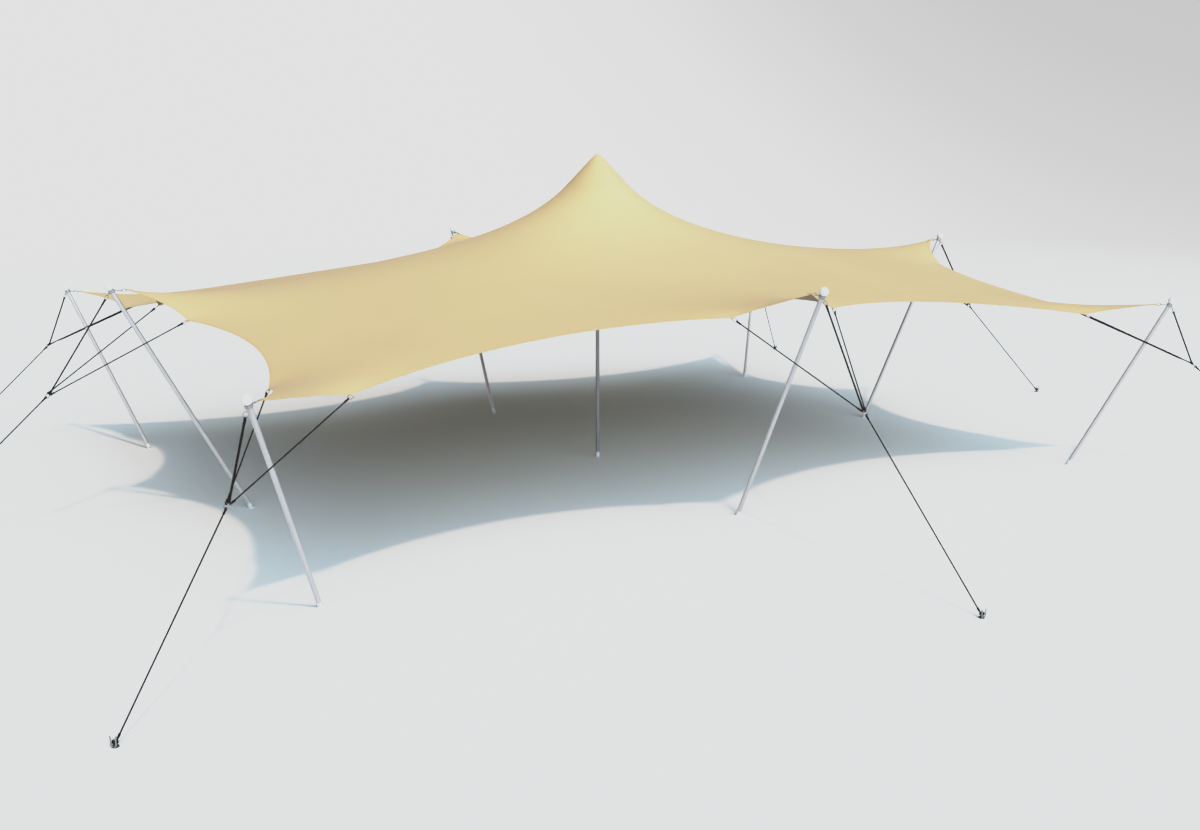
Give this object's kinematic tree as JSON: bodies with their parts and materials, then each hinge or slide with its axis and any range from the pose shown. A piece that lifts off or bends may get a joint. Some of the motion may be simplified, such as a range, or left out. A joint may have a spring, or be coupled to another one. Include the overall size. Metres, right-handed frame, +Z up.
{
  "type": "stretch tent",
  "caption": "Open-sided event canopy of one stretched sheet on a centre pole, with leaning perimeter poles guyed to ground pegs.",
  "frame": {"origin": "on the ground, under the centre pole, in the middle of the tent", "axes": "+Z up, +X along the tent's long side, +Y towards its back"},
  "size_m": [21.272, 17.232, 5],
  "materials": {
    "canopy_fabric": "matt stretch knit, sand yellow above and brown in shade",
    "pole_aluminium": "satin",
    "white_fitting": "white caps with steel eyes",
    "foot_rubber": "matt, pale grey",
    "guy_rope": "black braid and webbing",
    "peg_steel": "dark painted steel"
  },
  "bodies": {
    "root": {"canopy": "canopy_fabric", "centre_pole": "pole_aluminium", "centre_pole_foot": "foot_rubber", "centre_pole_cap": "white_fitting", "pole_front_left": "pole_aluminium", "pole_foot_front_left": "foot_rubber", "pole_head_front_left": "white_fitting", "guy_ropes_front_left": "guy_rope", "ground_peg_front_left": "peg_steel", "pole_front_right": "pole_aluminium", "pole_foot_front_right": "foot_rubber", "pole_head_front_right": "white_fitting", "guy_ropes_front_right": "guy_rope", "ground_peg_front_right": "peg_steel", "pole_back_left": "pole_aluminium", "pole_foot_back_left": "foot_rubber", "pole_head_back_left": "white_fitting", "guy_ropes_back_left": "guy_rope", "ground_peg_back_left": "peg_steel", "pole_back_right": "pole_aluminium", "pole_foot_back_right": "foot_rubber", "pole_head_back_right": "white_fitting", "guy_ropes_back_right": "guy_rope", "ground_peg_back_right": "peg_steel", "pole_left": "pole_aluminium", "pole_foot_left": "foot_rubber", "pole_head_left": "white_fitting", "guy_ropes_left": "guy_rope", "ground_peg_left": "peg_steel", "pole_right": "pole_aluminium", "pole_foot_right": "foot_rubber", "pole_head_right": "white_fitting", "guy_ropes_right": "guy_rope", "ground_peg_right": "peg_steel", "pole_front": "pole_aluminium", "pole_foot_front": "foot_rubber", "pole_head_front": "white_fitting", "guy_ropes_front": "guy_rope", "ground_peg_front": "peg_steel", "pole_back": "pole_aluminium", "pole_foot_back": "foot_rubber", "pole_head_back": "white_fitting", "guy_ropes_back": "guy_rope", "ground_peg_back": "peg_steel"}
  },
  "joints": []
}
